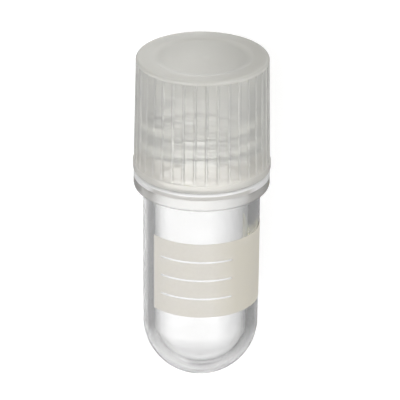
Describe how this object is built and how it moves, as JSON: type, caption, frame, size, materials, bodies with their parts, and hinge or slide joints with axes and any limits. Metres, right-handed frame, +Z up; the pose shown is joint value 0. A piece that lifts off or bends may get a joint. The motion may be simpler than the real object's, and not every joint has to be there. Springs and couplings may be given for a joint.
{
  "type": "cryogenic sample vial",
  "caption": "Round-bottomed cryogenic vial with an externally threaded neck, a flange, a ribbed screw cap with a sealing ring and a printed marking panel, lying on its side.",
  "frame": {"origin": "centre of the bounding box, on the surface that the vial lies on", "axes": "+Z up; the vial lies along +Y, round bottom towards -Y and cap towards +Y, its own axis rising 3.80 degrees towards the cap; the marking panel faces up"},
  "size_m": [0.0126, 0.0316, 0.013],
  "materials": {
    "tube_plastic": "clear natural polypropylene, polished mould",
    "marking_ink": "matt pale warm grey write-on ink",
    "seal_silicone": "translucent silicone, satin",
    "cap_plastic": "translucent natural polypropylene, fine satin"
  },
  "bodies": {
    "vial_body": {"tube": "tube_plastic", "marking_panel": "marking_ink"},
    "seal_body": {"sealing_ring": "seal_silicone"},
    "cap_body": {"cap": "cap_plastic"}
  },
  "joints": [
    {"name": "cap_lift", "type": "slide", "parent": "vial_body", "child": "seal_body", "axis": [0, 0.9978, 0.0663], "range_m": [0, 0.01045]},
    {"name": "cap_turn", "type": "hinge", "parent": "seal_body", "child": "cap_body", "pos_m": [0, 0.00461, 0.00627], "axis": [0, 0.9978, 0.0663], "range_deg": [0, 1980.1]}
  ],
  "couplings": [
    {"joint": "cap_turn", "follows": "cap_lift", "rad_per_m": 3306.9}
  ]
}
